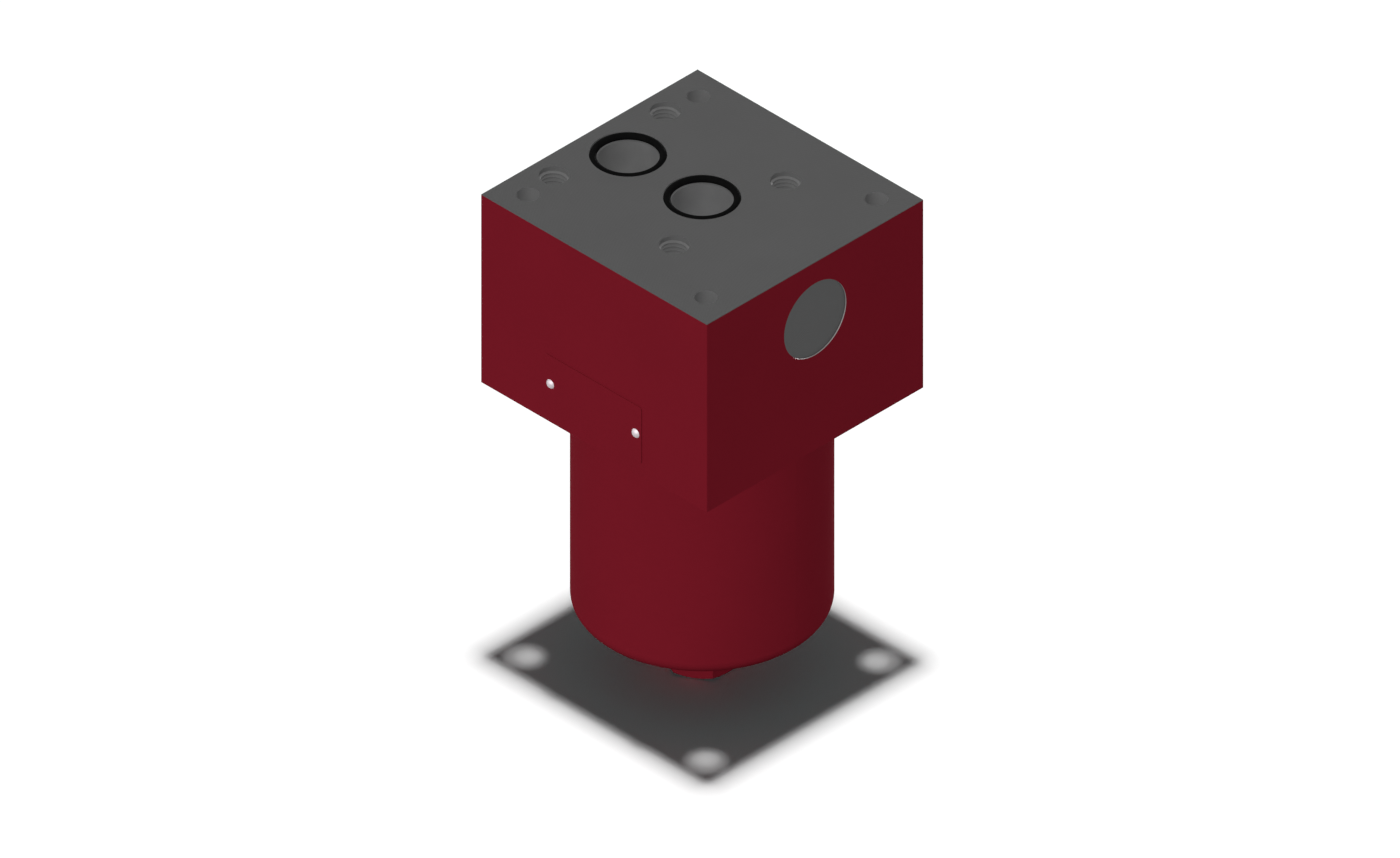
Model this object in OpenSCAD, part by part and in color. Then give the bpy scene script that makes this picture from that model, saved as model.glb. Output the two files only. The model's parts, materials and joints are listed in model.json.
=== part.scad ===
// Hydraulic pressure filter for manifold mounting: a ported head, a screw-in bowl and a pleated element.
// The origin is the centre of the head's top mating face, on the bowl's axis. +Z points up into the
// manifold, +X to the clogging indicator's reference plane, and -Y to the nameplate.

/* [Head] */
// Width of the head along X
head_width = 122; // [118:1:150]
// Depth of the head along Y
head_depth = 117; // [115:1:150]
// Height of the head
head_height = 88; // [84:1:100]
// Edge break all round the head
head_edge = 0.2; // [0.1:0.1:2]
// Iron left between the top face and the dirty-oil chamber
ceiling = 32; // [31:1:34]
// Height of the dirty-oil chamber above the bowl's rim
chamber_height = 14; // [13:1:16]
// Diameter of the dirty-oil chamber
chamber_bore = 83; // [80:0.5:86]
// Length of the smooth seal bore between the chamber and the thread
seal_bore_length = 15; // [14:0.5:16]

/* [Ports] */
// Bore of the inlet and outlet ports
port_bore = 24; // [20:0.5:25]
// Distance from the outlet, on the bowl's axis, to the inlet
port_pitch = 40; // [38:1:42]
// Section of the O-ring round each port
port_seal_section = 3; // [2:0.1:3.5]
// Height by which that O-ring stands proud of the mating face
port_seal_stand = 0.4; // [0.1:0.1:0.8]
// Depth of the inlet bore, which opens into the side of the chamber
inlet_depth = 44; // [40:1:44]

/* [Mounting holes] */
// Through hole in each corner of the head
mount_hole = 9; // [6:0.5:11]
// Pitch of the corner holes along X
mount_pitch_x = 96; // [94:1:98]
// Pitch of the corner holes along Y
mount_pitch_y = 92; // [90:1:96]
// Spot face for the screw's head, on the underside
spot_face = 15; // [13:0.5:17]
// Depth of the spot faces
spot_face_depth = 0.5; // [0.2:0.1:2]
// Thread size of the four blind holes in the top face
blind_thread = 12; // [8:1:12]
// Depth of the core hole of the blind holes, without its drill point
blind_depth = 22; // [12:1:24]
// Length of the core hole below the full thread
blind_runout = 2; // [1:0.5:4]
// Pitch of the blind holes along X
blind_pitch_x = 65; // [60:1:66]
// Pitch of the blind holes along Y
blind_pitch_y = 60; // [56:1:66]
// Centre of the blind holes along X
blind_centre_x = -17.5; // [-19:0.5:-15]

/* [Indicator reference plane] */
// Diameter of the machined plane on the +X side
indicator_plane = 33.6; // [20:0.1:44]
// Depth of its centre below the top face
indicator_drop = 26.7; // [24:0.1:40]
// Depth of the recess that the cutter leaves
indicator_recess = 0.5; // [0.2:0.1:2]

/* [Nameplate] */
// Width of the nameplate
plate_width = 52; // [50:1:70]
// Height of the nameplate
plate_height = 26; // [14:1:32]
// Thickness of the nameplate
plate_thickness = 0.5; // [0.4:0.1:1.5]
// Corner radius of the nameplate
plate_corner = 1; // [0.5:0.1:3]
// Depth of its centre below the top face
plate_drop = 69.5; // [60:0.5:70]
// Distance between the two rivets
rivet_pitch = 46; // [30:1:46]
// Diameter of a rivet's head
rivet_head = 4; // [3.5:0.1:5]
// Height of a rivet's head
rivet_head_height = 1.1; // [0.8:0.1:1.7]
// Diameter of a rivet's shank
rivet_shank = 2.6; // [1.5:0.1:3]
// Depth that the shank is driven into the head
rivet_grip = 6; // [3:0.5:8]

/* [Bowl] */
// Outer diameter of the bowl
bowl_diameter = 101; // [98:0.5:106]
// Length of the bowl below the head, without its hexagon
bowl_length = 101; // [90:1:300]
// Bore of the bowl
bowl_bore = 76; // [72:0.5:77]
// Thickness of the bowl's floor
bowl_floor = 14; // [10:0.5:20]
// Outer radius at the bottom of the bowl
bowl_round = 6; // [2:0.5:12]
// Inner radius at the bottom of the bore
bore_round = 8; // [2:0.5:12]
// Width across flats of the spanner hexagon
hex_width = 27; // [19:1:41]
// Length of the spanner hexagon
hex_length = 27; // [15:1:35]
// Distance from the flats to the rim of the turned end face
hex_end_inset = 0.5; // [0:0.1:1.5]
// Nominal diameter of the bowl's thread
bowl_thread = 92; // [91.5:0.5:93]
// Pitch of the bowl's thread
thread_pitch = 2; // [1:0.25:2]
// Chamfer at the mouth of the head's thread
thread_chamfer = 1; // [0.5:0.1:2]
// Distance from the top of the head's thread to the top of the bowl's
thread_lead = 3; // [1:0.5:6]
// Step from the head's thread down to its seal bore, on the diameter
seal_bore_step = 3; // [2.5:0.5:4]
// Length of the runout groove under the bowl's thread
runout_length = 3; // [1:0.5:5]
// Radial depth of the runout groove
runout_depth = 1; // [0.5:0.1:1.5]
// Chamfer on the bowl's rim
rim_chamfer = 1; // [0.5:0.1:1.5]
// Edge break on the bowl's shoulder
shoulder_edge = 0.5; // [0.2:0.1:1.5]

/* [Bowl seal] */
// Radial depth of the seal groove in the bowl's neck
groove_depth = 2.9; // [2.4:0.1:3]
// Axial width of the O-ring as it lies squeezed
bowl_seal_width = 3.9; // [3.2:0.1:4.2]
// Axial width of the backup ring
backup_width = 1.4; // [1:0.1:1.6]
// Distance from the bowl's rim to the groove
groove_below_rim = 5; // [4:0.5:5.5]

/* [Spigot] */
// Outer diameter of the nose that enters the element
spigot_nose = 30; // [28:0.5:31]
// Bore of the spigot
spigot_bore = 22; // [16:0.5:23]
// Diameter of the shank in the head
spigot_shank = 28; // [26.5:0.5:29]
// Length of the shank
spigot_shank_length = 10; // [6:0.5:11]
// Diameter of the flange under the ceiling
spigot_flange = 40; // [38.5:0.5:41]
// Thickness of the flange
spigot_flange_thickness = 5; // [4:0.5:8]
// Diameter of the shoulder that the element stops against
spigot_shoulder = 36; // [34:0.5:38]
// Distance from the ceiling to that shoulder's face
spigot_shoulder_drop = 16; // [14:0.5:18]
// Length of the nose
spigot_nose_length = 14; // [12:0.5:20]
// Chamfer that leads the nose into the element
nose_chamfer = 1.5; // [0.5:0.1:3]
// Distance from the shank to the flange's O-ring groove
spigot_seal_offset = 1.5; // [1:0.1:2]
// Radial width of the flange's O-ring
spigot_seal_width = 2.2; // [1.6:0.1:2.4]
// Depth of the flange's O-ring groove
spigot_seal_depth = 1.6; // [1:0.1:2]

/* [Element] */
// Diameter of the end caps
cap_diameter = 66; // [62:0.5:68]
// Sheet thickness of the end caps
cap_sheet = 1.2; // [0.8:0.1:1.6]
// Length of the caps' rims
cap_rim = 5; // [3:0.5:8]
// Edge break on the caps and the hub
cap_edge = 0.6; // [0.2:0.1:1]
// Depth of the dish in the middle of the bottom cap
dish_depth = 2.4; // [1.5:0.1:5]
// Distance from the core to the dish
dish_margin = 2; // [1:0.5:4]
// Height of the top cap's hub above its plate
hub_height = 9; // [8:0.5:12]
// Wall of the hub round the nose
hub_wall = 5.5; // [4.5:0.1:6]
// Radial depth of the groove in the hub
hub_groove_depth = 2.6; // [2:0.1:3]
// Axial width of the element's O-ring
element_seal_width = 3.4; // [2.6:0.1:4]
// Gap between the element and the bowl's floor
element_clearance = 8; // [6:0.5:20]
// Outer diameter of the perforated core
core_diameter = 43; // [42:0.5:46]
// Wall of the core
core_wall = 1.2; // [0.8:0.1:1.6]
// Diameter of the core's perforations
core_hole = 5; // [3:0.5:6]
// Perforations in each row round the core
core_holes_round = 8; // [6:1:10]
// Distance between the rows of perforations
core_row_pitch = 11; // [9:0.5:16]
// Number of pleats
pleats = 48; // [36:1:54]
// Thickness of the media
media_thickness = 0.5; // [0.4:0.05:0.6]
// Thickness of the perforated wrap round the pleats
wrap_thickness = 0.4; // [0.3:0.05:0.6]
// Diameter of the wrap's perforations
wrap_hole = 9; // [5:0.5:10]
// Perforations in each row round the wrap
wrap_holes_round = 10; // [6:1:14]
// Distance between the rows of the wrap's perforations
wrap_row_pitch = 14; // [12:0.5:20]
// Thickness of the clip on the media's seam
clip_thickness = 0.3; // [0.2:0.05:0.35]
// Radial depth of the seam clip
clip_depth = 5; // [3:0.5:6]

/* [Bypass valve] */
// Distance of the valve from the bowl's axis
bypass_offset = 31; // [30.5:0.5:31.5]
// Bore in which the poppet runs
bypass_bore = 16; // [14:0.5:16]
// Thread diameter of the screwed-in seat
seat_thread = 18; // [17:0.5:18]
// Length of the seat's thread
seat_length = 8; // [6:0.5:9]
// Width across flats of the seat's hexagon
seat_hex = 17; // [16:1:17]
// Thickness of the seat's hexagon
seat_hex_thickness = 3; // [2:0.5:5]
// Flow hole through the seat
seat_hole = 11; // [8:0.5:11.5]
// Width of the 45 degree face round that hole
seat_face = 1; // [0.5:0.1:1.5]
// Distance from the ceiling to the blind end of the valve's bore
bypass_depth = 24; // [22:0.5:25]
// Length of the poppet's skirt
poppet_skirt = 8; // [6:0.5:9]
// Wall of the poppet's skirt
poppet_wall = 2; // [1.2:0.1:2.2]
// Thickness of the poppet's crown behind its cone
poppet_crown = 3; // [2:0.5:4]
// Distance that the tip of its cone lies inside the flow hole, on the radius
poppet_tip_inset = 1.5; // [0.5:0.1:3]
// Wire of the bypass spring
spring_wire = 1.3; // [0.8:0.1:1.4]
// Turns of the bypass spring
spring_turns = 5.5; // [4.5:0.5:6]
// Gap between the spring and the poppet's skirt
spring_side_gap = 0.2; // [0.1:0.1:0.6]
// Bore of the slanted gallery to the outlet
gallery_bore = 6.5; // [4:0.5:7]
// Slope of the gallery below the horizontal
gallery_slope = 35; // [33:1:37]
// Distance of the gallery's mouth from the rim of the outlet
gallery_inset = 0.5; // [0.2:0.1:1]

/* [Clearances] */
// Radial running clearance
running_gap = 0.1; // [0.05:0.01:0.12]
// Clearance round a seal in its groove
seal_gap = 0.05; // [0.02:0.01:0.1]
// Clearance of parts that are pressed, glued or screwed together
fixed_gap = 0.05; // [0.02:0.01:0.1]
// Gap between the bowl's shoulder and the head when screwed home
shoulder_gap = 0.3; // [0.1:0.1:0.6]
// Gap between the bowl's rim and the step above it
rim_gap = 1; // [0.5:0.1:1.5]
// Axial gap between the closed poppet and its seat
seat_gap = 0.2; // [0.1:0.05:0.3]

/* [Hidden] */
$fn = 96;

paint = [0.42, 0.09, 0.13];
steel = [0.62, 0.63, 0.65];
zinc = [0.78, 0.78, 0.74];
rubber = [0.07, 0.07, 0.07];
media_white = [0.86, 0.86, 0.8];

// Overrun of every cutter
cut = 1;
// Depth of an external metric thread as a share of its pitch
thread_form = 0.6134;
// Core hole of a coarse thread as a share of its diameter
tap_share = 0.85;
// Height of a drill point as a share of its radius
drill_point = 0.6;
// Height of a closed end turn of a spring as a share of its wire
closed_turn = 1.1;

// Levels in the head, from the top down
ceiling_z = -ceiling;
seal_top_z = ceiling_z - chamber_height;
thread_top_z = seal_top_z - seal_bore_length;
head_bottom_z = -head_height;

// Radii round the bowl's axis
thread_r = bowl_thread / 2;
thread_root_r = thread_r - thread_form * thread_pitch;
seal_bore_r = thread_r - seal_bore_step / 2;
seal_land_r = seal_bore_r - running_gap;
chamber_r = chamber_bore / 2;
groove_r = seal_bore_r - groove_depth;
bore_r = bowl_bore / 2;
bowl_r = bowl_diameter / 2;

// Levels in the bowl
shoulder_z = head_bottom_z - shoulder_gap;
rim_z = seal_top_z - rim_gap;
base_z = head_bottom_z - bowl_length;
floor_z = base_z + bowl_floor;
groove_top_z = rim_z - groove_below_rim;
groove_width = bowl_seal_width + backup_width + 4 * seal_gap;
groove_bottom_z = groove_top_z - groove_width;
thread_end_z = thread_top_z - thread_lead;

// Ports and blind holes
port_r = port_bore / 2;
recess_r = port_r + port_seal_section;
recess_z = port_seal_stand - port_seal_section;
blind_tap_r = tap_share * blind_thread / 2;
spigot_seal_r = spigot_shank / 2 + spigot_seal_offset;

// Element, from the spigot down
shoulder_face_z = ceiling_z - spigot_shoulder_drop;
nose_r = spigot_nose / 2;
hub_top_z = shoulder_face_z - fixed_gap;
cap_top_z = hub_top_z - hub_height;
media_top_z = cap_top_z - cap_sheet;
cap_bottom_z = floor_z + element_clearance;
media_bottom_z = cap_bottom_z + cap_sheet;
cap_r = cap_diameter / 2;
wrap_r = cap_r - cap_sheet - fixed_gap;
media_r = wrap_r - wrap_thickness - clip_thickness - 2 * fixed_gap;
core_r = core_diameter / 2;
media_root_r = core_r + fixed_gap;
wrap_end_inset = 0.5;
tip_gap = 0.35;
root_gap = 0.3;

// Bypass valve
valve_r = bypass_bore / 2;
seat_r = seat_thread / 2;
seat_top_z = ceiling_z + seat_length;
valve_top_z = ceiling_z + bypass_depth;
poppet_r = valve_r - running_gap;
seat_hole_r = seat_hole / 2;
cone_base_z = seat_top_z + seat_gap;
crown_z = cone_base_z + poppet_crown;
spring_r = poppet_r - poppet_wall - spring_wire / 2 - spring_side_gap;

// Section of a ring or tube, as an upright rectangle beside the axis
module band(r_in, r_out, z_low, z_high)
    translate([r_in, z_low]) square([r_out - r_in, z_high - z_low]);

// Triangle that takes a 45 degree chamfer off a corner of a section
module corner_cut(r, z, size, dir_r, dir_z)
    polygon([[r - dir_r * size, z + dir_z * cut], [r + dir_r * cut, z + dir_z * cut],
        [r + dir_r * cut, z - dir_z * size], [r, z - dir_z * size], [r - dir_r * size, z]]);

// Rectangle with its corners cut off at 45 degrees
module broken_rectangle(width, height, edge) {
    x = width / 2;
    y = height / 2;
    polygon([[-x + edge, -y], [x - edge, -y], [x, -y + edge], [x, y - edge],
        [x - edge, y], [-x + edge, y], [-x, y - edge], [-x, -y + edge]]);
}

module rounded_rectangle(width, height, radius) {
    square([width - 2 * radius, height], center = true);
    square([width, height - 2 * radius], center = true);
    for (x = [-1, 1], y = [-1, 1])
        translate([x * (width / 2 - radius), y * (height / 2 - radius)]) circle(radius);
}

module at_rectangle(pitch_x, pitch_y, centre_x = 0)
    for (x = [-1, 1], y = [-1, 1])
        translate([centre_x + x * pitch_x / 2, y * pitch_y / 2, 0]) children();

// O-ring squeezed into a flat-sided section, radial by axial
module squeezed_ring(mid_r, mid_z, radial, axial) {
    round = min(radial, axial) / 2;
    rotate_extrude() translate([mid_r, mid_z]) {
        for (x = [-1, 1], y = [-1, 1])
            translate([x * (radial / 2 - round), y * (axial / 2 - round)]) circle(round);
        square([max(radial - 2 * round, 0.001), axial], center = true);
        square([radial, max(axial - 2 * round, 0.001)], center = true);
    }
}

// Block with every edge broken
module head_block()
    translate([0, 0, -head_height / 2]) intersection() {
        linear_extrude(head_height, center = true)
            broken_rectangle(head_width, head_depth, head_edge);
        rotate([90, 0, 0]) linear_extrude(head_depth, center = true)
            broken_rectangle(head_width, head_height, head_edge);
        rotate([90, 0, 90]) linear_extrude(head_width, center = true)
            broken_rectangle(head_depth, head_height, head_edge);
    }

// Chamber, seal bore and thread, bored from below
module bowl_cavity()
    rotate_extrude() {
        band(0, chamber_r, seal_top_z - cut, ceiling_z);
        band(0, seal_bore_r, thread_top_z - cut, seal_top_z);
        band(0, thread_r, head_bottom_z - cut, thread_top_z);
        band(0, thread_r + thread_chamfer, head_bottom_z - cut, head_bottom_z);
        polygon([[0, head_bottom_z], [thread_r + thread_chamfer, head_bottom_z],
            [thread_r, head_bottom_z + thread_chamfer], [0, head_bottom_z + thread_chamfer]]);
    }

// Port bore with the open recess for its O-ring
module port(depth) {
    translate([0, 0, -depth]) cylinder(h = depth + cut, r = port_r);
    translate([0, 0, recess_z]) cylinder(h = cut - recess_z, r = recess_r);
}

// Tapped blind hole: the thread at its nominal diameter, then the core hole with its drill point
module blind_hole() {
    thread_depth = blind_depth - blind_runout;
    point = blind_tap_r * drill_point;
    translate([0, 0, -thread_depth]) cylinder(h = thread_depth + cut, r = blind_thread / 2);
    translate([0, 0, -blind_depth]) cylinder(h = blind_depth + cut, r = blind_tap_r);
    translate([0, 0, -blind_depth - point]) cylinder(h = point, r1 = 0, r2 = blind_tap_r);
}

// Drilled from the outlet's mouth down into the valve's bore
module gallery() {
    mouth_x = gallery_bore / 2 / sin(gallery_slope) + gallery_inset - port_r;
    reach = (bypass_offset - mouth_x) / cos(gallery_slope);
    translate([mouth_x, 0, 0]) rotate([0, 90 + gallery_slope, 0])
        cylinder(h = reach, r = gallery_bore / 2);
}

module valve_cavity() {
    translate([bypass_offset, 0, ceiling_z - cut]) {
        cylinder(h = bypass_depth + cut, r = valve_r);
        cylinder(h = seat_length + cut, r = seat_r);
    }
    gallery();
}

module at_rivets()
    for (x = [-1, 1])
        translate([x * rivet_pitch / 2, -head_depth / 2, -plate_drop]) rotate([90, 0, 0]) children();

module filter_head()
    color(paint) difference() {
        head_block();
        bowl_cavity();
        port(ceiling + cut);
        translate([-port_pitch, 0, 0]) port(inlet_depth);
        translate([0, 0, ceiling_z - cut])
            cylinder(h = spigot_shank_length + cut, r = spigot_shank / 2 + fixed_gap);
        valve_cavity();
        at_rectangle(mount_pitch_x, mount_pitch_y) {
            translate([0, 0, -head_height - cut]) cylinder(h = head_height + 2 * cut, r = mount_hole / 2);
            translate([0, 0, -head_height - cut]) cylinder(h = spot_face_depth + cut, r = spot_face / 2);
        }
        at_rectangle(blind_pitch_x, blind_pitch_y, blind_centre_x) blind_hole();
        translate([head_width / 2 - indicator_recess, 0, -indicator_drop]) rotate([0, 90, 0])
            cylinder(h = indicator_recess + cut, r = indicator_plane / 2);
        at_rivets() translate([0, 0, -rivet_grip - fixed_gap])
            cylinder(h = rivet_grip + fixed_gap + cut, r = rivet_shank / 2 + fixed_gap);
    }

// Round ring in the recess of a port, as it stands before the manifold squeezes it
module port_ring(x)
    color(rubber) translate([x, 0, recess_z + port_seal_section / 2])
        rotate_extrude() translate([port_r + port_seal_section / 2, 0])
            circle(port_seal_section / 2 - seal_gap);

module inlet_o_ring() port_ring(-port_pitch);

module outlet_o_ring() port_ring(0);

module nameplate()
    color(paint) difference() {
        translate([0, -head_depth / 2, -plate_drop]) rotate([90, 0, 0])
            linear_extrude(plate_thickness)
                rounded_rectangle(plate_width, plate_height, plate_corner);
        at_rivets() translate([0, 0, -cut])
            cylinder(h = plate_thickness + 2 * cut, r = rivet_shank / 2 + fixed_gap);
    }

// Drive rivets with low domed heads that lie on the plate
module nameplate_rivets() {
    head_r = rivet_head / 2;
    dome_r = (head_r * head_r + rivet_head_height * rivet_head_height) / (2 * rivet_head_height);
    color(zinc) at_rivets() rotate_extrude() {
        band(0, rivet_shank / 2, -rivet_grip, plate_thickness + fixed_gap);
        intersection() {
            translate([0, plate_thickness + rivet_head_height - dome_r]) circle(dome_r);
            band(0, head_r, plate_thickness, plate_thickness + rivet_head_height);
        }
    }
}

// Turned sleeve that carries the element and leads clean oil up to the outlet
module element_spigot() {
    bore = spigot_bore / 2;
    flange_r = spigot_flange / 2;
    flange_z = ceiling_z - spigot_flange_thickness;
    nose_z = shoulder_face_z - spigot_nose_length;
    color(steel) rotate_extrude() difference() {
        union() {
            band(bore, spigot_shank / 2, ceiling_z - cut, ceiling_z + spigot_shank_length);
            band(bore, flange_r, flange_z, ceiling_z);
            band(bore, spigot_shoulder / 2, shoulder_face_z, flange_z + cut);
            band(bore, nose_r, nose_z, shoulder_face_z + cut);
        }
        band(spigot_seal_r, spigot_seal_r + spigot_seal_width + 2 * seal_gap,
            ceiling_z - spigot_seal_depth, ceiling_z + cut);
        corner_cut(nose_r, nose_z, nose_chamfer, 1, -1);
    }
}

module spigot_o_ring()
    color(rubber) squeezed_ring(spigot_seal_r + seal_gap + spigot_seal_width / 2,
        ceiling_z - spigot_seal_depth / 2, spigot_seal_width, spigot_seal_depth - 2 * seal_gap);

// Spanner hexagon under the bowl, with its end chamfered
module hexagon() {
    corner_r = hex_width / 2 / cos(30);
    end_r = hex_width / 2 - hex_end_inset;
    chamfer = (corner_r - end_r) * tan(30);
    translate([0, 0, base_z - hex_length]) intersection() {
        rotate([0, 0, 30]) cylinder(h = hex_length + bowl_floor / 2, r = corner_r, $fn = 6);
        union() {
            cylinder(h = chamfer, r1 = end_r, r2 = corner_r);
            translate([0, 0, chamfer]) cylinder(h = hex_length + bowl_floor, r = corner_r);
        }
    }
}

// Solid outline of the bowl: rounded base, runout groove, thread land and seal land
module bowl_outline() {
    band(0, bowl_r - bowl_round, base_z, shoulder_z);
    band(0, bowl_r, base_z + bowl_round, shoulder_z);
    translate([bowl_r - bowl_round, base_z + bowl_round]) circle(bowl_round);
    band(0, thread_root_r - runout_depth, shoulder_z - cut, shoulder_z + runout_length + cut);
    band(0, thread_root_r, shoulder_z + runout_length, thread_end_z);
    band(0, seal_land_r, thread_end_z - cut, rim_z);
}

module bowl_hollow() {
    band(0, bore_r, floor_z + bore_round, rim_z + cut);
    band(0, bore_r - bore_round, floor_z, floor_z + bore_round + cut);
    translate([bore_r - bore_round, floor_z + bore_round]) circle(bore_round);
}

module filter_bowl()
    color(paint) {
        rotate_extrude() difference() {
            intersection() {
                bowl_outline();
                band(0, bowl_r + cut, base_z - cut, rim_z + cut);
            }
            bowl_hollow();
            band(groove_r, seal_land_r + cut, groove_bottom_z, groove_top_z);
            corner_cut(seal_land_r, rim_z, rim_chamfer, 1, 1);
            corner_cut(bowl_r, shoulder_z, shoulder_edge, 1, 1);
        }
        hexagon();
    }

module bowl_o_ring() {
    mid_z = groove_top_z - seal_gap - bowl_seal_width / 2;
    color(rubber) squeezed_ring((groove_r + seal_bore_r) / 2, mid_z,
        groove_depth - 2 * running_gap, bowl_seal_width);
}

module bowl_backup_ring()
    color("white") rotate_extrude()
        band(groove_r + running_gap, seal_bore_r - running_gap, groove_bottom_z + seal_gap,
            groove_bottom_z + seal_gap + backup_width);

// Pressed cap with a turned hub that seals on the spigot's nose
module element_top_cap() {
    hub_r = nose_r + hub_wall;
    hole_r = nose_r + running_gap;
    groove_mid_z = (hub_top_z + cap_top_z) / 2;
    groove_half = element_seal_width / 2 + seal_gap;
    color(zinc) rotate_extrude() difference() {
        union() {
            band(hole_r, hub_r, media_top_z, hub_top_z);
            band(hole_r, cap_r, media_top_z, cap_top_z);
            band(cap_r - cap_sheet, cap_r, media_top_z - cap_rim, cap_top_z);
        }
        band(hole_r - cut, nose_r + hub_groove_depth, groove_mid_z - groove_half,
            groove_mid_z + groove_half);
        corner_cut(cap_r, cap_top_z, cap_edge, 1, 1);
        corner_cut(hub_r, hub_top_z, cap_edge, 1, 1);
    }
}

module element_o_ring()
    color(rubber) squeezed_ring(nose_r + hub_groove_depth / 2, (hub_top_z + cap_top_z) / 2,
        hub_groove_depth - 2 * seal_gap, element_seal_width);

// Closed cap with a shallow dished middle
module element_bottom_cap() {
    dish_r = core_r - core_wall - dish_margin;
    color(zinc) rotate_extrude() difference() {
        union() {
            band(0, cap_r, cap_bottom_z, media_bottom_z);
            band(cap_r - cap_sheet, cap_r, cap_bottom_z, media_bottom_z + cap_rim);
            band(0, dish_r, cap_bottom_z, media_bottom_z + dish_depth);
        }
        band(0, dish_r - cap_sheet, cap_bottom_z - cut, cap_bottom_z + dish_depth);
        corner_cut(cap_r, cap_bottom_z, cap_edge, 1, -1);
    }
}

// Staggered rows of radial holes through a tube, over the height between two levels
module perforations(r_in, r_out, z_low, z_high, row_pitch, round_count, hole) {
    rows = floor((z_high - z_low - hole) / row_pitch) + 1;
    first_z = (z_low + z_high - (rows - 1) * row_pitch) / 2;
    for (row = [0:rows - 1], k = [0:round_count - 1])
        rotate([0, 0, (k + row % 2 / 2) * 360 / round_count])
            translate([r_in - cut, 0, first_z + row * row_pitch]) rotate([0, 90, 0])
                cylinder(h = r_out - r_in + 2 * cut, r = hole / 2);
}

module tube(r_in, r_out, z_low, z_high)
    rotate_extrude() band(r_in, r_out, z_low, z_high);

// Perforated tube that holds the pleats up against the flow
module element_core()
    color(steel) difference() {
        tube(core_r - core_wall, core_r, media_bottom_z, media_top_z);
        perforations(core_r - core_wall, core_r, media_bottom_z + cap_rim, media_top_z - cap_rim,
            core_row_pitch, core_holes_round, core_hole);
    }

module element_wrap() {
    z_low = media_bottom_z + wrap_end_inset;
    z_high = media_top_z - wrap_end_inset;
    color("gainsboro") difference() {
        tube(wrap_r - wrap_thickness, wrap_r, z_low, z_high);
        perforations(wrap_r - wrap_thickness, wrap_r, z_low + cap_rim, z_high - cap_rim,
            wrap_row_pitch, wrap_holes_round, wrap_hole);
    }
}

// One face of the pleated sheet: tips at tip_r and roots at root_r, each with a flat of its own half
// width. tip_half is measured from a tip's centre line, and root_half from a root's.
function polar(r, angle) = [r * cos(angle), r * sin(angle)];
function pleat_face(tip_r, root_r, tip_half, root_half) = [
    for (k = [0:pleats - 1])
        let (
            centre = k * 360 / pleats,
            tip = asin(tip_half / tip_r),
            root = 180 / pleats - asin(root_half / root_r)
        )
        each [
            polar(root_r, centre - root), polar(tip_r, centre - tip),
            polar(tip_r, centre + tip), polar(root_r, centre + root)
        ]
];

// Sheet folded into pleats, from outer to inner face
module element_media()
    color(media_white) translate([0, 0, media_bottom_z])
        linear_extrude(media_top_z - media_bottom_z) difference() {
            polygon(pleat_face(media_r, media_root_r + media_thickness, tip_gap + media_thickness,
                root_gap));
            polygon(pleat_face(media_r - media_thickness, media_root_r, tip_gap,
                root_gap + media_thickness));
        }

// Folded clip over the pleat in which the sheet's two ends meet
module element_seam_clip() {
    outer_root_r = media_root_r + media_thickness;
    tip_half = tip_gap + media_thickness;
    root_half = outer_root_r * sin(180 / pleats) - root_gap;
    leg_r = media_r - clip_depth;
    leg_half = tip_half + (root_half - tip_half) * clip_depth / (media_r - outer_root_r);
    near = fixed_gap;
    far = fixed_gap + clip_thickness;
    color(steel) translate([0, 0, media_bottom_z + wrap_end_inset])
        linear_extrude(media_top_z - media_bottom_z - 2 * wrap_end_inset)
            polygon([[leg_r, leg_half + near], [media_r + near, tip_half + near],
                [media_r + near, -tip_half - near], [leg_r, -leg_half - near],
                [leg_r, -leg_half - far], [media_r + far, -tip_half - far],
                [media_r + far, tip_half + far], [leg_r, leg_half + far]]);
}

// Screwed-in seat: a hexagon under the ceiling, and a shank with a 45 degree seat at its top
module bypass_seat() {
    hex_r = seat_hex / 2 / cos(30);
    color(steel) translate([bypass_offset, 0, 0]) difference() {
        union() {
            translate([0, 0, ceiling_z - seat_hex_thickness])
                cylinder(h = seat_hex_thickness, r = hex_r, $fn = 6);
            translate([0, 0, ceiling_z - seat_hex_thickness])
                cylinder(h = seat_hex_thickness + seat_length, r = seat_r - fixed_gap);
        }
        translate([0, 0, ceiling_z - seat_hex_thickness - cut])
            cylinder(h = seat_hex_thickness + seat_length + 2 * cut, r = seat_hole_r);
        translate([0, 0, seat_top_z - seat_face])
            cylinder(h = seat_face + cut, r1 = seat_hole_r, r2 = seat_hole_r + seat_face + cut);
    }
}

// Cup with a 45 degree nose that closes the seat and a skirt that closes the gallery
module bypass_poppet() {
    nose_tip_r = seat_hole_r - poppet_tip_inset;
    cone = seat_face + poppet_tip_inset;
    cup_r = poppet_r - poppet_wall;
    color(steel) translate([bypass_offset, 0, 0]) rotate_extrude() difference() {
        union() {
            band(0, poppet_r, cone_base_z, cone_base_z + poppet_skirt);
            polygon([[0, cone_base_z - cone], [nose_tip_r, cone_base_z - cone],
                [nose_tip_r + cone, cone_base_z], [0, cone_base_z]]);
        }
        band(0, cup_r, crown_z, cone_base_z + poppet_skirt + cut);
    }
}

// Height of the wire's centre after u turns: the end turns lie closed, and the rest share the height
function wire_z(u, height) =
    let (
        closed = closed_turn * spring_wire,
        open = (height - 2 * closed) / (spring_turns - 2)
    )
    u < 1 ? closed * u
    : u > spring_turns - 1 ? height - closed * (spring_turns - u)
    : closed + open * (u - 1);

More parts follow.
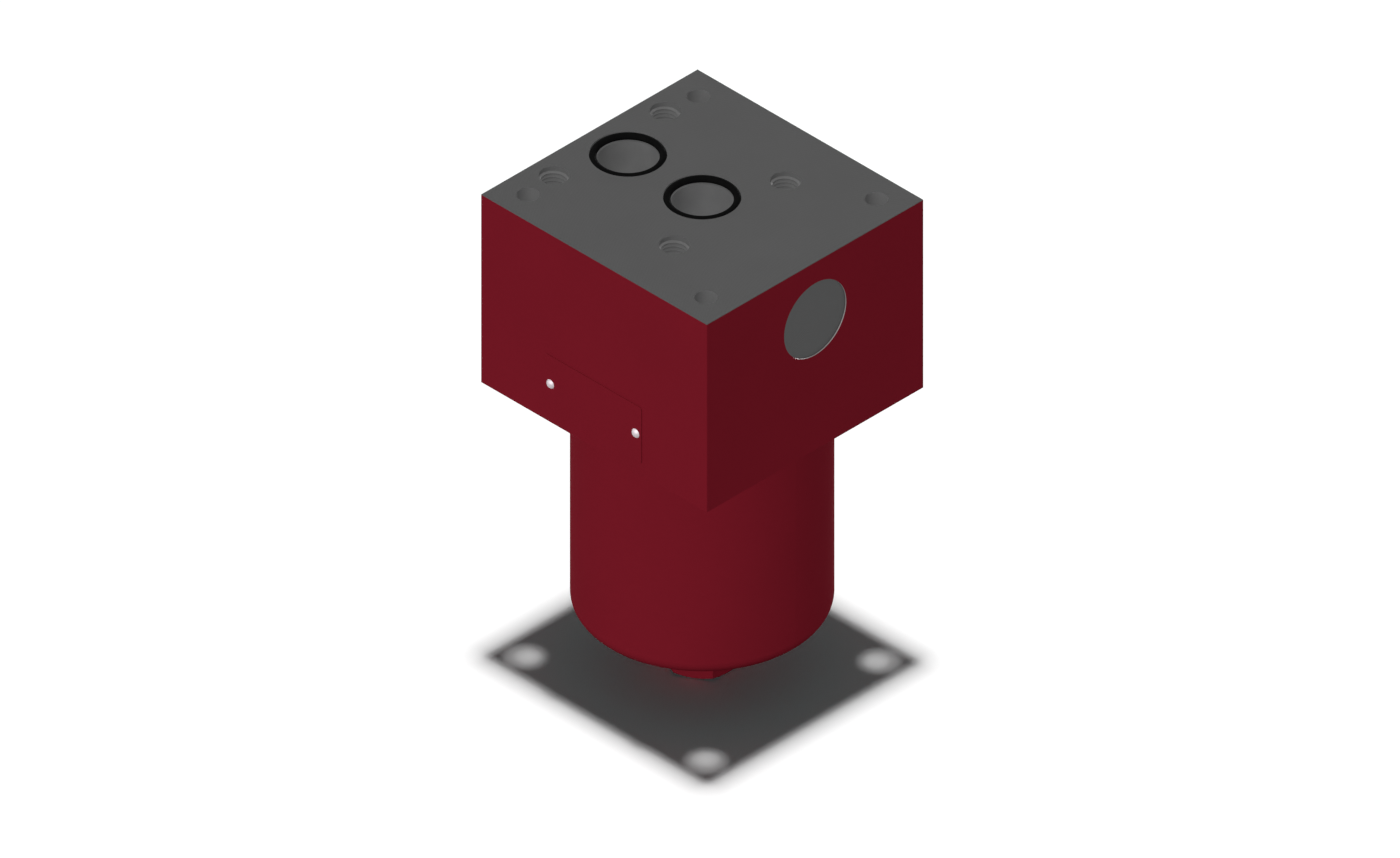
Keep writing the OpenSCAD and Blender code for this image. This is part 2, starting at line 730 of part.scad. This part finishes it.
// Round wire swept along the spring's helix, closed by a flat end at each side
module coil(mid_r, wire, z_low, z_high) {
    sides = 6;
    turn_steps = 16;
    steps = turn_steps * spring_turns;
    height = z_high - z_low - wire;
    points = [
        for (i = [0:steps])
            let (u = i / turn_steps, z = z_low + wire / 2 + wire_z(u, height))
            for (s = [0:sides - 1])
                let (a = s * 360 / sides, r = mid_r + wire / 2 * cos(a))
                [r * cos(360 * u), r * sin(360 * u), z + wire / 2 * sin(a)]
    ];
    skin = [
        for (i = [0:steps - 1], s = [0:sides - 1])
            let (t = (s + 1) % sides)
            [i * sides + s, (i + 1) * sides + s, (i + 1) * sides + t, i * sides + t]
    ];
    first = [for (s = [0:sides - 1]) s];
    last = [for (s = [sides - 1:-1:0]) steps * sides + s];
    polyhedron(points, concat(skin, [first, last]));
}

module bypass_spring()
    color(steel) translate([bypass_offset, 0, 0])
        coil(spring_r, spring_wire, crown_z + fixed_gap, valve_top_z - fixed_gap);

filter_head();
inlet_o_ring();
outlet_o_ring();
nameplate();
nameplate_rivets();
element_spigot();
spigot_o_ring();
filter_bowl();
bowl_o_ring();
bowl_backup_ring();
element_top_cap();
element_bottom_cap();
element_core();
element_media();
element_seam_clip();
element_wrap();
element_o_ring();
bypass_seat();
bypass_poppet();
bypass_spring();
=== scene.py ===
"""Hydraulic pressure filter: finishes, threads, spring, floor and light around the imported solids."""

import json
import math

import bmesh
import bpy
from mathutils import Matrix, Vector

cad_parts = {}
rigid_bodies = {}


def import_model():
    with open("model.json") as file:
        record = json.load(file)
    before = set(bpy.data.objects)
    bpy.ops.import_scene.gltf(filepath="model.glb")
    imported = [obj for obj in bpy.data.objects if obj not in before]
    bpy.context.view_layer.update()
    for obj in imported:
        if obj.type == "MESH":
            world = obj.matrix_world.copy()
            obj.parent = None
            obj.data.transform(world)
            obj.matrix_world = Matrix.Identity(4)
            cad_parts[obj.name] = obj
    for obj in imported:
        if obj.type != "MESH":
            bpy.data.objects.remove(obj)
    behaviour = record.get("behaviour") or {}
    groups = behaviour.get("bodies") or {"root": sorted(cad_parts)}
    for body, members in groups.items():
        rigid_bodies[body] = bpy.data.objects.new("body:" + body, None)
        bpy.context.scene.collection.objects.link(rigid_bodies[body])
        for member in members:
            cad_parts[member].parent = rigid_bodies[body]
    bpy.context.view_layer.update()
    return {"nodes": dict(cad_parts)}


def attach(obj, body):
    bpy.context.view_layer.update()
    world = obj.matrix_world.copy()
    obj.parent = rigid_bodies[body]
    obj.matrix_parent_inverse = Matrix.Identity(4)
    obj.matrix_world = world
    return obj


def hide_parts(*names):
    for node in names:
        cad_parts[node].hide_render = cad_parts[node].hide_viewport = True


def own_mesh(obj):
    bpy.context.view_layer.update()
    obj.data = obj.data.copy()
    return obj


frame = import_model()
MM = 0.001

# Camera: a true isometric view, without perspective. AIM is the point at the picture's middle
RIGHT = Vector((1, 1, 0)).normalized()
UP = Vector((-1, 1, 2)).normalized()
BACK = Vector((1, -1, 1)).normalized()
PIXELS_WIDE = 1400
PIXELS_PER_MM = 2.62
AIM = -0.84 * MM * RIGHT - 88.63 * MM * UP
CAMERA_DISTANCE = 1.5

# Levels, places and radii of the solids' surfaces, in mm
FLOOR_Z = -216
HEAD_BOTTOM = -88
CHAMBER_TOP = -32
PORTS_X = (-40, 0)
RECESS_R = 15
CORNER_X, CORNER_Y = 48, 46
CORNER_R = 4.5
SPOT_R = 7.5
BLIND_X = (-50, 15)
BLIND_Y = 30
BLIND_R = 6
PLANE_X, PLANE_Z, PLANE_R = 61, -26.7, 16.8
PLANE_DEPTH = 0.5
THREAD_MOUTH_R = 47
BOWL_SHOULDER = -88.3
BOWL_BORE_R = 38
BOWL_FLOOR = -175
VALVE_X = 31

# Limits in mm by which head_surface tells faces apart. Every face between the INNER planes belongs
# to a bore. The ports, the blind holes and the mating face with its edges lie above their levels,
# and the floors of the blind holes inside their radius
INNER_X, INNER_Y = 60, 57
INNER_BOTTOM, INNER_TOP = -87, -1
PORT_LEVEL = -45
BLIND_LEVEL = -28
MATING_LEVEL = -0.6
BLIND_FLOOR_R = 5.4

# How far past its radius or level a surface is looked for, in mm, and the share of a face's normal
# along an axis from which the face counts as square to the axis, or as leaning towards it
REACH = 0.1
SQUARE = 0.9
LEANING = 0.5

# Places of the finishes in the material lists of head and bowl
PAINTED, MILLED, BORED, TAPPED, FACED, RIM = range(6)
BARE = 1

# Base colours
PAINT = (0.138, 0.0072, 0.0140)
IRON = (0.0565, 0.0565, 0.0565)
# Painted light: the bores' bare iron, over twice as light as the milled face, so their insides look lit
BORED_IRON_PAINTED_LIGHT = (0.137, 0.137, 0.137)
# Painted light: the tapped holes' bare iron, twice as light as the milled face, so their insides look
# lit
TAPPED_IRON_PAINTED_LIGHT = (0.117, 0.117, 0.117)
FACED_IRON = (0.065, 0.065, 0.065)
# Partly painted highlight: the recess's bare cut wall, painted far lighter to show as a light edge line
CUT_RIM_PAINTED_HIGHLIGHT = (0.24, 0.22, 0.22)
NECK_STEEL = (0.3, 0.3, 0.31)
STEEL = (0.4, 0.4, 0.42)
RIVET = (0.45, 0.405, 0.425)
ZINC = (0.62, 0.63, 0.6)
WIRE = (0.35, 0.36, 0.38)
RUBBER = (0.0035, 0.0035, 0.0035)
FIBRE = (0.72, 0.72, 0.62)
PLASTIC = (0.8, 0.8, 0.77)

# Colours of floor and world, as the object is lit by them and as they are seen, and of the floor's fill
FLOOR_BOUNCE = (0.3, 0.3, 0.3, 1)
FLOOR_SEEN = (0.98, 0.98, 0.98, 1)
WORLD_GLOW = (0.06, 0.06, 0.06, 1)
WHITE = (1.0, 1.0, 1.0, 1.0)
CYAN_TINT = (0.3, 1, 1)

# Axes for turned(), and the points that their rings go round
ALONG_X, ALONG_Z = 0, 2
BOWL_AXIS = (0, 0, 0)
PLANE_AXIS = (0, 0, PLANE_Z)
VALVE_AXIS = (VALVE_X, 0, 0)


def aim_camera():
    data = bpy.data.cameras.new("camera")
    data.type = "ORTHO"
    data.ortho_scale = PIXELS_WIDE / PIXELS_PER_MM * MM
    data.clip_start = 0.01
    data.clip_end = 20
    camera = bpy.data.objects.new("camera", data)
    bpy.context.scene.collection.objects.link(camera)
    camera.rotation_mode = "QUATERNION"
    camera.rotation_quaternion = (-BACK).to_track_quat("-Z", "Y")
    camera.location = AIM + BACK * CAMERA_DISTANCE
    bpy.context.scene.camera = camera


class Finish:
    """A node material round one Principled shader, with short calls for the nodes that it needs."""

    def __init__(self, name, colour, roughness, metallic=0.0, ior=1.3):
        self.material = bpy.data.materials.new(name)
        self.material.use_nodes = True
        self.nodes = self.material.node_tree.nodes
        self.links = self.material.node_tree.links
        self.shader = self.nodes["Principled BSDF"]
        self.colour = colour
        self.shader.inputs["Base Color"].default_value = (*colour, 1)
        self.shader.inputs["Roughness"].default_value = roughness
        self.shader.inputs["Metallic"].default_value = metallic
        self.shader.inputs["IOR"].default_value = ior
        self.material.diffuse_color = (*colour, 1)
        self.height = None

    def node(self, kind, **values):
        made = self.nodes.new(kind)
        for key, value in values.items():
            setattr(made, key, value)
        return made

    def feed(self, socket, value):
        if isinstance(value, bpy.types.NodeSocket):
            self.links.new(value, socket)
        else:
            socket.default_value = value

    def math(self, operation, a, b=0.0):
        made = self.node("ShaderNodeMath", operation=operation)
        self.feed(made.inputs[0], a)
        self.feed(made.inputs[1], b)
        return made.outputs[0]

    def place(self, scale=(1, 1, 1)):
        """Object coordinates in mm, stretched by scale."""
        coordinates = self.node("ShaderNodeTexCoord").outputs["Object"]
        made = self.node("ShaderNodeVectorMath", operation="MULTIPLY")
        self.feed(made.inputs[0], coordinates)
        made.inputs[1].default_value = [s / MM for s in scale]
        return made.outputs[0]

    def axes(self):
        """Object coordinates in mm, one output for each axis."""
        made = self.node("ShaderNodeSeparateXYZ")
        self.feed(made.inputs[0], self.place())
        return made.outputs

    def noise(self, size, detail=2.0, stretch=(1, 1, 1)):
        """Noise from 0 to 1 whose blobs are about size mm, longer where stretch is over 1."""
        made = self.node("ShaderNodeTexNoise")
        self.feed(made.inputs["Vector"], self.place([1 / (size * s) for s in stretch]))
        made.inputs["Scale"].default_value = 1
        made.inputs["Detail"].default_value = detail
        made.inputs["Roughness"].default_value = 0.5
        return made.outputs["Fac"]

    def spread(self, value, low, high, start=0.25, end=0.75):
        """Maps value from start to end onto low to high."""
        made = self.node("ShaderNodeMapRange")
        self.feed(made.inputs["Value"], value)
        made.inputs["From Min"].default_value = start
        made.inputs["From Max"].default_value = end
        made.inputs["To Min"].default_value = low
        made.inputs["To Max"].default_value = high
        return made.outputs["Result"]

    def tone(self, *shares):
        """Multiplies the base colour by the shares, which are near 1."""
        total = shares[0]
        for share in shares[1:]:
            total = self.math("MULTIPLY", total, share)
        made = self.node("ShaderNodeVectorMath", operation="SCALE")
        made.inputs[0].default_value = self.colour
        self.feed(made.inputs["Scale"], total)
        self.links.new(made.outputs[0], self.shader.inputs["Base Color"])

    def roughness(self, value):
        self.links.new(value, self.shader.inputs["Roughness"])

    def bump(self, height, depth):
        """Relief of the given depth in mm, added over the relief before it."""
        made = self.node("ShaderNodeBump")
        made.inputs["Distance"].default_value = depth * MM
        self.feed(made.inputs["Height"], height)
        if self.height:
            self.links.new(self.height, made.inputs["Normal"])
        self.height = made.outputs["Normal"]
        self.links.new(self.height, self.shader.inputs["Normal"])


def paint(name, stretch=(1, 1, 1)):
    """Satin enamel with a faint orange peel over iron."""
    made = Finish(name, PAINT, roughness=0.8, ior=1.04)
    cloud = made.noise(45, detail=3)
    peel = made.noise(1.6, detail=2, stretch=stretch)
    grain = made.noise(0.5, detail=1)
    made.tone(made.spread(cloud, 0.965, 1.035), made.spread(peel, 0.985, 1.015))
    made.roughness(made.spread(cloud, 0.75, 0.85))
    made.bump(peel, 0.03)
    made.bump(grain, 0.006)
    return made.material


def milled():
    """Face-milled iron: the arcs that a wide cutter leaves as it travels along X."""
    made = Finish("milled_iron", IRON, roughness=0.5, metallic=0.3, ior=1.2)
    cutter_r = 95.0
    feed_a_turn = 1.4
    x, y, _ = made.axes()
    depth = made.math("SUBTRACT", cutter_r * cutter_r, made.math("MULTIPLY", y, y))
    travel = made.math("ADD", x, made.math("SQRT", depth))
    turn = made.math("FRACT", made.math("DIVIDE", travel, feed_a_turn))
    ridge = made.math("ABSOLUTE", made.math("SUBTRACT", turn, 0.5))
    cloud = made.noise(28, detail=3)
    fine = made.noise(0.9, detail=2)
    made.tone(
        made.spread(cloud, 0.96, 1.04),
        made.spread(ridge, 0.97, 1.03, start=0.0, end=0.5),
        made.spread(fine, 0.97, 1.03),
    )
    made.roughness(made.spread(fine, 0.44, 0.56))
    made.bump(ridge, 0.006)
    return made.material


def turned(name, colour, axis, centre, pitch=0.6, metallic=0.3, roughness=0.45):
    """Turned or spot-faced metal with rings a pitch apart round an axis through centre, in mm."""
    made = Finish(name, colour, roughness, metallic, ior=1.2)
    outputs = made.axes()
    across = [made.math("SUBTRACT", outputs[k], centre[k]) for k in range(3) if k != axis]
    squares = [made.math("MULTIPLY", a, a) for a in across]
    radius = made.math("SQRT", made.math("ADD", *squares))
    travel = made.math("ADD", radius, outputs[axis])
    wave = made.math("SINE", made.math("MULTIPLY", travel, 2 * math.pi / pitch))
    cloud = made.noise(9, detail=3)
    made.tone(made.spread(wave, 0.965, 1.035, start=-1, end=1), made.spread(cloud, 0.95, 1.05))
    made.roughness(made.spread(cloud, roughness - 0.06, roughness + 0.06))
    made.bump(wave, 0.006)
    return made.material


def tapped():
    """Cut thread: iron with a fine grain along the flanks, painted lighter as painted light in the
    holes.
    """
    made = Finish("tapped_iron_painted_light", TAPPED_IRON_PAINTED_LIGHT, roughness=0.45, metallic=0.3, ior=1.2)
    cloud = made.noise(4, detail=2)
    grain = made.noise(0.3, detail=1, stretch=(3, 3, 1))
    made.tone(made.spread(cloud, 0.95, 1.05), made.spread(grain, 0.97, 1.03))
    made.roughness(made.spread(grain, 0.4, 0.5))
    made.bump(grain, 0.004)
    return made.material


def rubber():
    """Moulded nitrile rubber: black and matte, with a faint grain."""
    made = Finish("nitrile_rubber", RUBBER, roughness=0.7, ior=1.04)
    cloud = made.noise(3, detail=2)
    grain = made.noise(0.35, detail=1)
    made.tone(made.spread(cloud, 0.85, 1.15))
    made.roughness(made.spread(cloud, 0.65, 0.75))
    made.bump(grain, 0.008)
    return made.material


def bright(name, colour, roughness, grain_size, depth):
    """Clean metal with a fine grain of the given size and depth, in mm."""
    made = Finish(name, colour, roughness, metallic=1.0)
    cloud = made.noise(6, detail=2)
    grain = made.noise(grain_size, detail=2)
    made.tone(made.spread(cloud, 0.95, 1.05), made.spread(grain, 0.97, 1.03))
    made.roughness(made.spread(grain, roughness - 0.05, roughness + 0.05))
    made.bump(grain, depth)
    return made.material


def media():
    """Glass-fibre sheet: matte, off-white and slightly fuzzy."""
    made = Finish("glass_fibre", FIBRE, roughness=0.9, ior=1.2)
    fibre = made.noise(0.25, detail=3, stretch=(1, 1, 6))
    cloud = made.noise(6, detail=2)
    made.tone(made.spread(cloud, 0.94, 1.04), made.spread(fibre, 0.9, 1.08))
    made.bump(fibre, 0.05)
    return made.material


def plastic():
    """White sealing plastic, cut from a tube."""
    made = Finish("white_plastic", PLASTIC, roughness=0.4, ior=1.4)
    cloud = made.noise(5, detail=2)
    grain = made.noise(0.4, detail=1)
    made.tone(made.spread(cloud, 0.97, 1.02))
    made.roughness(made.spread(cloud, 0.36, 0.46))
    made.bump(grain, 0.003)
    return made.material


def near(x, y, cx, cy, r):
    return math.hypot(x - cx, y - cy) < r


def near_port(x, y, r):
    return any(near(x, y, port_x, 0, r) for port_x in PORTS_X)


def near_blind(x, y, r):
    return any(near(x, abs(y), blind_x, BLIND_Y, r) for blind_x in BLIND_X)


def near_corner(x, y, r):
    return near(abs(x), abs(y), CORNER_X, CORNER_Y, r)


def head_surface(c, n):
    """The finish of a face of the head, from its centre in mm and its normal."""
    x, y, z = c
    in_chamber = HEAD_BOTTOM - REACH < z < CHAMBER_TOP + REACH
    if in_chamber and near(x, y, 0, 0, THREAD_MOUTH_R + REACH):
        return BORED
    if near_port(x, y, RECESS_R + REACH) and z > PORT_LEVEL and n[2] < SQUARE:
        return BORED
    if near_port(x, y, RECESS_R - REACH) and PORT_LEVEL < z < INNER_TOP:
        return BORED
    if near_blind(x, y, BLIND_R + REACH) and z > BLIND_LEVEL and n[2] < SQUARE:
        return TAPPED
    if near_blind(x, y, BLIND_FLOOR_R) and BLIND_LEVEL < z < INNER_TOP:
        return TAPPED
    if near_corner(x, y, CORNER_R + REACH) and abs(n[2]) < SQUARE:
        return BORED
    in_spot = z < INNER_BOTTOM and near_corner(x, y, SPOT_R + REACH)
    if in_spot and (z > HEAD_BOTTOM + REACH or abs(n[2]) < SQUARE):
        return BORED
    in_recess = x > PLANE_X - PLANE_DEPTH - REACH and near(y, z, 0, PLANE_Z, PLANE_R + REACH)
    if in_recess and (x < PLANE_X - REACH or n[0] < SQUARE):
        return FACED if n[0] > SQUARE else RIM
    if n[2] > LEANING and z > MATING_LEVEL:
        return MILLED
    if abs(x) < INNER_X and abs(y) < INNER_Y and INNER_BOTTOM < z < INNER_TOP:
        return BORED
    return PAINTED


def bowl_surface(c, n):
    """The finish of a face of the bowl. Its neck, its shoulder and its bore are bare."""
    x, y, z = c
    if z > BOWL_SHOULDER - REACH / 2:
        return BARE
    if near(x, y, 0, 0, BOWL_BORE_R + REACH) and z > BOWL_FLOOR - REACH:
        return BARE
    return PAINTED


def dress(node, materials, surface=None):
    """Gives a node its materials, and each of its faces the one that surface picks."""
    mesh = frame["nodes"][node].data
    mesh.materials.clear()
    for material in materials:
        mesh.materials.append(material)
    for face in mesh.polygons:
        picked = surface(face.center / MM, face.normal) if surface else 0
        face.material_index = picked


def mesh_object(name, points, faces, material, body, smooth=True):
    """A piece that rides on a body, with its normals turned outwards."""
    mesh = bpy.data.meshes.new(name)
    mesh.from_pydata(points, [], faces)
    mesh.materials.append(material)
    work = bmesh.new()
    work.from_mesh(mesh)
    bmesh.ops.recalc_face_normals(work, faces=work.faces)
    work.to_mesh(mesh)
    work.free()
    made = bpy.data.objects.new(name, mesh)
    bpy.context.scene.collection.objects.link(made)
    for face in mesh.polygons:
        face.use_smooth = smooth
    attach(made, body)
    return made


def tube_faces(rings, sides):
    """Quads between the rings of a tube, with a flat face at each end."""
    faces = []
    for i in range(rings - 1):
        for s in range(sides):
            t = (s + 1) % sides
            faces.append((i * sides + s, (i + 1) * sides + s, (i + 1) * sides + t, i * sides + t))
    faces.append(tuple(range(sides)))
    faces.append(tuple((rings - 1) * sides + s for s in reversed(range(sides))))
    return faces


def thread_ridge(name, material, body, root, crest, pitch, levels, centre=(0, 0), turn_steps=72):
    """A right-hand thread of 60 degrees, standing from the root radius to the crest radius, in mm.
    Its foot is sunk into the wall. levels are those of its middle at both ends, where it fades in
    and out over a quarter turn. land and foot are half its width at the crest and at the root."""
    inwards = crest < root
    sink = 0.15
    sunk = root + (sink if inwards else -sink)
    land = pitch / (8 if inwards else 16) + 0.01
    foot = land + abs(crest - root) * math.tan(math.radians(30))
    bottom, top = levels
    count = int((top - bottom) / pitch * turn_steps)
    fade = turn_steps // 4
    points = []
    for i in range(count + 1):
        angle = 2 * math.pi * i / turn_steps
        z = bottom + pitch * i / turn_steps
        share = min(1.0, i / fade, (count - i) / fade)
        share = share * share * (3 - 2 * share)
        tip = root + (crest - root) * share
        lower = ((sunk, -foot), (root, -foot), (tip, -land))
        upper = ((tip, land), (root, foot), (sunk, foot))
        for r, dz in lower + upper:
            x = centre[0] + r * math.cos(angle)
            y = centre[1] + r * math.sin(angle)
            points.append((x * MM, y * MM, (z + dz) * MM))
    faces = tube_faces(count + 1, 6)
    return mesh_object(name, points, faces, material, body, smooth=False)


def threads():
    """The bowl's thread, the head's round it half a pitch higher, and the four tapped blind holes."""
    iron = frame["nodes"]["filter_head"].data.materials
    steel = frame["nodes"]["filter_bowl"].data.materials[BARE]
    pitch = 2.0
    thread_ridge("bowl_thread", steel, "bowl", 44.77, 45.85, pitch, levels=(-83.9, -65.6))
    thread_ridge("head_thread", iron[BORED], "head", 46.0, 44.95, pitch, levels=(-86.9, -62.2))
    tap_crest, tap_pitch = 5.12, 1.75
    holes = [(x, y) for x in BLIND_X for y in (-BLIND_Y, BLIND_Y)]
    for i, hole in enumerate(holes):
        thread_ridge("hole_thread_%d" % (i + 1), iron[TAPPED], "head", BLIND_R, tap_crest, tap_pitch,
                     levels=(-19.2, -1.4), centre=hole, turn_steps=40)


def valve_spring(material):
    """Round-wire spring behind the poppet, with closed end turns."""
    centre_x, mid_r, wire = VALVE_X, 5.05, 1.3
    low, high = -20.75, -8.05
    turns = 5.5
    closed_pitch = 1.1 * wire
    turn_steps, sides = 40, 14
    count = int(turns * turn_steps)
    height = high - low - wire
    open_pitch = (height - 2 * closed_pitch) / (turns - 2)
    points = []
    for i in range(count + 1):
        u = i / turn_steps
        if u < 1:
            rise = closed_pitch * u
        elif u > turns - 1:
            rise = height - closed_pitch * (turns - u)
        else:
            rise = closed_pitch + open_pitch * (u - 1)
        z = low + wire / 2 + rise
        for s in range(sides):
            a = 2 * math.pi * s / sides
            r = mid_r + wire / 2 * math.cos(a)
            x = centre_x + r * math.cos(2 * math.pi * u)
            y = r * math.sin(2 * math.pi * u)
            points.append((x * MM, y * MM, (z + wire / 2 * math.sin(a)) * MM))
    faces = tube_faces(count + 1, sides)
    made = mesh_object("valve_spring", points, faces, material, "head")
    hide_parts("bypass_spring")
    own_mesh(made)


def by_ray(nodes, links, bounced, seen):
    """The colour seen for camera, glossy and transmission rays, and bounced for diffuse ones."""
    path = nodes.new("ShaderNodeLightPath")
    direct = path.outputs["Is Camera Ray"]
    for name in ("Is Glossy Ray", "Is Transmission Ray"):
        made = nodes.new("ShaderNodeMath")
        made.operation = "MAXIMUM"
        links.new(direct, made.inputs[0])
        links.new(path.outputs[name], made.inputs[1])
        direct = made.outputs[0]
    mix = nodes.new("ShaderNodeMix")
    mix.data_type = "RGBA"
    mix.inputs["A"].default_value = bounced
    mix.inputs["B"].default_value = seen
    links.new(direct, mix.inputs["Factor"])
    return mix.outputs["Result"]


def floor():
    """A plain square floor, in metres, under the hexagon."""
    half, z = 30.0, FLOOR_Z * MM
    mesh = bpy.data.meshes.new("floor")
    corners = [(-half, -half, z), (half, -half, z), (half, half, z), (-half, half, z)]
    mesh.from_pydata(corners, [], [(0, 1, 2, 3)])
    made = bpy.data.objects.new("floor", mesh)
    bpy.context.scene.collection.objects.link(made)
    material = bpy.data.materials.new("floor")
    material.use_nodes = True
    nodes, links = material.node_tree.nodes, material.node_tree.links
    nodes.clear()
    diffuse = nodes.new("ShaderNodeBsdfDiffuse")
    links.new(by_ray(nodes, links, FLOOR_BOUNCE, FLOOR_SEEN), diffuse.inputs["Color"])
    output = nodes.new("ShaderNodeOutputMaterial")
    links.new(diffuse.outputs[0], output.inputs["Surface"])
    mesh.materials.append(material)


def world():
    """A white background that adds only a faint glow to the object's light."""
    made = bpy.data.worlds.new("world")
    bpy.context.scene.world = made
    made.use_nodes = True
    nodes, links = made.node_tree.nodes, made.node_tree.links
    nodes.clear()
    background = nodes.new("ShaderNodeBackground")
    links.new(by_ray(nodes, links, WORLD_GLOW, WHITE), background.inputs["Color"])
    output = nodes.new("ShaderNodeOutputWorld")
    links.new(background.outputs[0], output.inputs["Surface"])


def sun(name, azimuth, elevation, strength, softness, lit, shadow=False, colour=(1, 1, 1)):
    """A distant lamp for the objects of the collection lit. Azimuth 0 shines from -Y and 90 from +X.
    A strength of 1 renders white as white."""
    data = bpy.data.lights.new(name, "SUN")
    data.energy = strength * math.pi
    data.angle = math.radians(softness)
    data.use_shadow = shadow
    data.color = colour
    made = bpy.data.objects.new(name, data)
    bpy.context.scene.collection.objects.link(made)
    a, e = math.radians(azimuth), math.radians(elevation)
    towards = Vector((math.sin(a) * math.cos(e), -math.cos(a) * math.cos(e), math.sin(e)))
    made.rotation_mode = "QUATERNION"
    made.rotation_quaternion = (-towards).to_track_quat("-Z", "Y")
    made.light_linking.receiver_collection = lit


def overhead(name, strength, softness, lit):
    """A round lamp high over the middle of the floor, from where it is softness degrees wide.
    There a strength of 1 renders white as white."""
    height = 7.2
    data = bpy.data.lights.new(name, "AREA")
    data.shape = "DISK"
    data.size = 2 * height * math.tan(math.radians(softness / 2))
    data.energy = strength * (math.pi * height) ** 2
    made = bpy.data.objects.new(name, data)
    bpy.context.scene.collection.objects.link(made)
    made.location = (0, 0, FLOOR_Z * MM + height)
    made.light_linking.receiver_collection = lit


def studio():
    """Two lamps overhead that cast the object's shadow on the floor, and a faint one that evens out
    its tint. The object has a key lamp, a ring of fill lamps and a lamp behind it, all without
    shadows."""
    ground = bpy.data.collections.new("ground")
    lit = bpy.data.collections.new("lit")
    for piece in bpy.context.scene.objects:
        if piece.type == "MESH":
            (ground if piece.name == "floor" else lit).objects.link(piece)
    overhead("top_light", 0.87, 5.0, ground)
    sun("top_light_middle", 0, 90, 0.17, 1.6, ground, shadow=True)
    sun("floor_fill", 0, 90, 0.0175, 3.9, ground, colour=CYAN_TINT)
    sun("key_light", 10, 36, 0.6, 20, lit)
    sun("back_light", 210, -6, 0.36, 10, lit)
    fills = 7
    for i in range(fills):
        sun("fill_light_%d" % (i + 1), 360 / fills * i, 22.5, 0.2065, 40, lit)


bpy.context.scene.view_settings.view_transform = "Standard"
aim_camera()
floor()
world()

dress("filter_head", [
    paint("head_paint"),
    milled(),
    # bores: bare iron painted lighter than the milled face, as painted light inside them
    turned("bored_iron_painted_light", BORED_IRON_PAINTED_LIGHT, ALONG_Z, BOWL_AXIS),
    # tapped holes: bare iron painted lighter than the milled face, as painted light inside them
    tapped(),
    turned("spot_faced_iron", FACED_IRON, ALONG_X, PLANE_AXIS),
    # the recess wall: bare cut metal painted light, a painted highlight along the plane's edge
    turned("cut_rim_painted_highlight", CUT_RIM_PAINTED_HIGHLIGHT, ALONG_X, PLANE_AXIS),
], head_surface)
dress("filter_bowl", [
    paint("bowl_paint", stretch=(2.5, 2.5, 1)),
    turned("turned_neck", NECK_STEEL, ALONG_Z, BOWL_AXIS, pitch=0.3, metallic=0.8),
], bowl_surface)
dress("nameplate", [paint("plate_paint")])
dress("nameplate_rivets", [bright("bright_rivet", RIVET, roughness=0.6, grain_size=0.3, depth=0.003)])
black = rubber()
for ring in ("inlet_o_ring", "outlet_o_ring", "spigot_o_ring", "bowl_o_ring", "element_o_ring"):
    dress(ring, [black])
dress("bowl_backup_ring", [plastic()])
dress("element_spigot", [turned("turned_steel", STEEL, ALONG_Z, BOWL_AXIS, pitch=0.3, metallic=0.9)])
valve_steel = turned("valve_steel", STEEL, ALONG_Z, VALVE_AXIS, pitch=0.3, metallic=0.9)
for turned_piece in ("bypass_seat", "bypass_poppet"):
    dress(turned_piece, [valve_steel])
plated = bright("zinc_plate", ZINC, roughness=0.35, grain_size=0.8, depth=0.004)
for cap in ("element_top_cap", "element_bottom_cap"):
    dress(cap, [plated])
for sheet in ("element_core", "element_seam_clip", "element_wrap"):
    dress(sheet, [plated])
dress("element_media", [media()])
drawn_wire = bright("drawn_wire", WIRE, roughness=0.3, grain_size=0.4, depth=0.002)
dress("bypass_spring", [drawn_wire])
threads()
valve_spring(drawn_wire)
studio()
